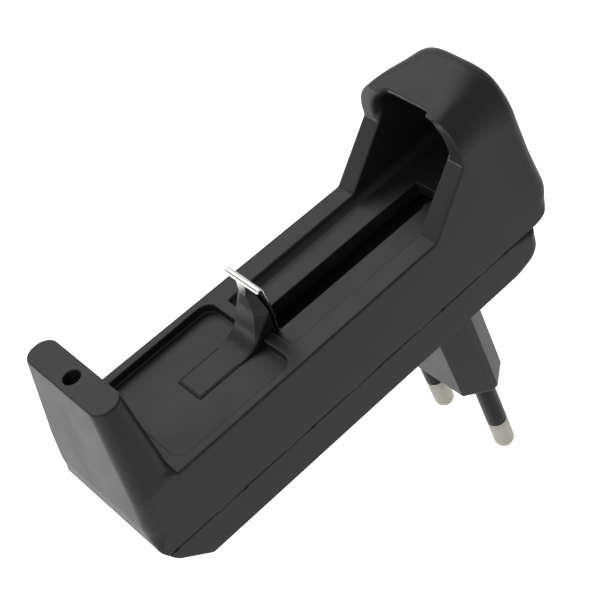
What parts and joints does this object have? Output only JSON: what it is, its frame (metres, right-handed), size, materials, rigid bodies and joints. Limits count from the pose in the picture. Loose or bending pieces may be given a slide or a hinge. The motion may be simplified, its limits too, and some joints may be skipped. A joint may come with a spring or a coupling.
{
  "type": "plug-in single-cell battery charger",
  "caption": "Plug-in wall charger for one cylindrical lithium cell: hooded open bay, sprung sliding contact, indicator tab and a two-pin European plug underneath.",
  "frame": {"origin": "centre of the plug block's end face, which seats against the wall socket", "axes": "+X from the indicator tab to the hood along the cell, +Z out of the open bay and away from the wall, -Z along the plug pins"},
  "size_m": [0.0952, 0.0306, 0.0774],
  "materials": {
    "black_abs": "satin",
    "sleeve_black": "satin",
    "nickel": "dull nickel plate",
    "spring_steel": "bright",
    "lamp_lens": "clear epoxy",
    "board": "matte",
    "ferrite": "matte",
    "winding_tape": "glossy film",
    "capacitor_sleeve": "glossy sleeve",
    "black_epoxy": "matte",
    "resistor_body": "matte",
    "blue_epoxy": "glossy dip",
    "wire_black": "satin",
    "wire_red": "satin"
  },
  "bodies": {
    "housing": {"upper_housing": "black_abs", "lower_housing": "black_abs", "plug_block": "black_abs", "plug_pin_near": "nickel", "pin_sleeve_near": "sleeve_black", "plug_pin_far": "nickel", "pin_sleeve_far": "sleeve_black", "slider_spring": "spring_steel", "spring_anchor_pin": "nickel", "slot_liner": "black_abs", "hood_contact": "nickel", "indicator_lamp": "lamp_lens", "circuit_board": "board", "transformer_core": "ferrite", "transformer_winding": "winding_tape", "mains_capacitor": "capacitor_sleeve", "output_capacitor": "capacitor_sleeve", "bridge_rectifier": "black_epoxy", "fusible_resistor": "resistor_body", "switching_transistor": "black_epoxy", "charge_controller": "black_epoxy", "output_diode": "black_epoxy", "safety_capacitor": "blue_epoxy", "housing_screw_1": "nickel", "housing_screw_2": "nickel", "mains_wire_near": "wire_black", "mains_wire_far": "wire_red", "hood_contact_wire": "wire_red", "anchor_wire": "wire_black", "lamp_lead": "wire_red"},
    "slider": {"slider_carriage": "black_abs", "slider_contact": "spring_steel", "slider_keeper": "black_abs", "slider_screw": "nickel"}
  },
  "joints": [
    {"name": "slider_travel", "type": "slide", "parent": "housing", "child": "slider", "axis": [-1, 0, 0], "range_m": [0, 0.0158], "stiffness_N_per_m": 120, "springref_m": -0.008, "deforming": ["slider_spring"]}
  ]
}
